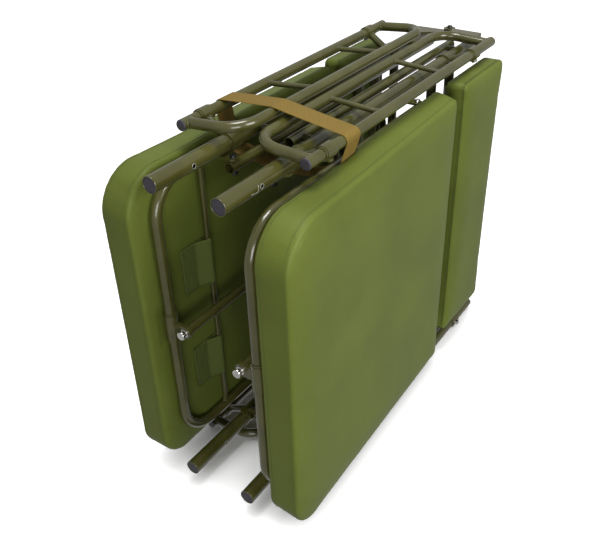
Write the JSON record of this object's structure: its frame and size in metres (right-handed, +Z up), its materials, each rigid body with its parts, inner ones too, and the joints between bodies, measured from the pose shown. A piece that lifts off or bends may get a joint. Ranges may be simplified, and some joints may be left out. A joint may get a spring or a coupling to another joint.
{
  "type": "folding cot",
  "caption": "Folding cot on a tubular steel frame, shown folded flat on its side: padded panels, swinging side guards, prop tubes, folding legs and a webbing strap round the pack.",
  "frame": {"origin": "on the floor under the middle of the folded pack", "axes": "+X along the rails from their near ends to the fold hinge, +Y from the front half to the rear half, +Z up along the pack's width"},
  "size_m": [1.018, 0.4126, 0.7863],
  "materials": {
    "tube_paint": "gloss",
    "pad_vinyl": "satin",
    "tab_webbing": "matte",
    "strap_webbing": "matte",
    "end_plug": "matte",
    "foot_rubber": "matte",
    "bolt_chrome": "polished"
  },
  "bodies": {
    "rear_half": {"rear_rail_upper": "tube_paint", "rear_rail_lower": "tube_paint", "rear_rail_plugs": "end_plug", "rear_cross_tubes": "tube_paint", "rear_side_tubes": "tube_paint", "rear_hinge_ears": "tube_paint", "rear_guard_arms": "tube_paint", "rear_guard_arm_bolts": "bolt_chrome", "rear_pivot_ears": "tube_paint", "rear_seat_bearers": "tube_paint", "rear_short_pad": "pad_vinyl", "hinge_bolts": "bolt_chrome", "strap": "strap_webbing"},
    "rear_leg": {"rear_leg_frame": "tube_paint", "rear_leg_feet": "foot_rubber", "rear_leg_pivot_bolts": "bolt_chrome"},
    "rear_panel": {"rear_panel_frame": "tube_paint", "rear_panel_cross_bar": "tube_paint", "rear_panel_pivot_bolts": "bolt_chrome", "rear_stop_rings": "tube_paint", "rear_long_pad": "pad_vinyl", "rear_pad_tabs": "tab_webbing"},
    "rear_prop": {"rear_prop_sleeve": "tube_paint", "rear_prop_tube": "tube_paint", "rear_prop_bolt": "bolt_chrome"},
    "rear_upper_guard": {"rear_upper_guard_rail": "tube_paint", "rear_upper_guard_bow": "tube_paint", "rear_upper_guard_caps": "end_plug"},
    "rear_lower_guard": {"rear_lower_guard_rail": "tube_paint", "rear_lower_guard_bow": "tube_paint", "rear_lower_guard_caps": "end_plug"},
    "front_half": {"front_rail_upper": "tube_paint", "front_rail_lower": "tube_paint", "front_rail_plugs": "end_plug", "front_cross_tubes": "tube_paint", "front_side_tubes": "tube_paint", "front_hinge_ears": "tube_paint", "front_guard_arms": "tube_paint", "front_guard_arm_bolts": "bolt_chrome", "front_pivot_ears": "tube_paint", "front_seat_bearers": "tube_paint", "front_short_pad": "pad_vinyl"},
    "front_leg": {"front_leg_frame": "tube_paint", "front_leg_feet": "foot_rubber", "front_leg_pivot_bolts": "bolt_chrome"},
    "front_panel": {"front_panel_frame": "tube_paint", "front_panel_cross_bar": "tube_paint", "front_panel_pivot_bolts": "bolt_chrome", "front_stop_rings": "tube_paint", "front_long_pad": "pad_vinyl", "front_pad_tabs": "tab_webbing"},
    "front_prop": {"front_prop_sleeve": "tube_paint", "front_prop_tube": "tube_paint", "front_prop_bolt": "bolt_chrome"},
    "front_upper_guard": {"front_upper_guard_rail": "tube_paint", "front_upper_guard_bow": "tube_paint", "front_upper_guard_caps": "end_plug"},
    "front_lower_guard": {"front_lower_guard_rail": "tube_paint", "front_lower_guard_bow": "tube_paint", "front_lower_guard_caps": "end_plug"}
  },
  "joints": [
    {"name": "fold", "type": "hinge", "parent": "rear_half", "child": "front_half", "pos_m": [0.495, 0, 0.38809], "axis": [0, 0, 1], "range_deg": [0, 180], "deforming": ["strap"]},
    {"name": "front_leg_swing", "type": "hinge", "parent": "front_half", "child": "front_leg", "pos_m": [-0.315, -0.044, 0.38809], "axis": [0, 0, 1], "range_deg": [0, 90]},
    {"name": "front_panel_tilt", "type": "hinge", "parent": "front_half", "child": "front_panel", "pos_m": [0.095, -0.117, 0.38809], "axis": [0, 0, 1], "range_deg": [0, 35]},
    {"name": "front_prop_swing", "type": "hinge", "parent": "front_panel", "child": "front_prop", "pos_m": [-0.483, -0.117, 0.38809], "axis": [0, 0, 1], "range_deg": [0, 21]},
    {"name": "front_upper_guard_swing", "type": "hinge", "parent": "front_half", "child": "front_upper_guard", "pos_m": [0.044, -0.13724, 0.75189], "axis": [1, 0, 0], "range_deg": [0, 176]},
    {"name": "front_lower_guard_swing", "type": "hinge", "parent": "front_half", "child": "front_lower_guard", "pos_m": [0.044, -0.15243, 0.0142], "axis": [-1, 0, 0], "range_deg": [0, 180]},
    {"name": "rear_leg_swing", "type": "hinge", "parent": "rear_half", "child": "rear_leg", "pos_m": [-0.315, 0.044, 0.38809], "axis": [0, 0, -1], "range_deg": [0, 90]},
    {"name": "rear_panel_tilt", "type": "hinge", "parent": "rear_half", "child": "rear_panel", "pos_m": [0.095, 0.117, 0.38809], "axis": [0, 0, -1], "range_deg": [0, 35]},
    {"name": "rear_prop_swing", "type": "hinge", "parent": "rear_panel", "child": "rear_prop", "pos_m": [-0.455, 0.117, 0.38809], "axis": [0, 0, -1], "range_deg": [0, 21]},
    {"name": "rear_upper_guard_swing", "type": "hinge", "parent": "rear_half", "child": "rear_upper_guard", "pos_m": [0.044, 0.13137, 0.76272], "axis": [-1, 0, 0], "range_deg": [0, 175]},
    {"name": "rear_lower_guard_swing", "type": "hinge", "parent": "rear_half", "child": "rear_lower_guard", "pos_m": [0.044, 0.15243, 0.0142], "axis": [1, 0, 0], "range_deg": [0, 180]}
  ],
  "couplings": [
    {"joint": "front_leg_swing", "follows": "fold", "ratio": 0.5},
    {"joint": "front_prop_swing", "follows": "front_panel_tilt", "ratio": 0.6},
    {"joint": "rear_leg_swing", "follows": "fold", "ratio": 0.5},
    {"joint": "rear_prop_swing", "follows": "rear_panel_tilt", "ratio": 0.6}
  ]
}
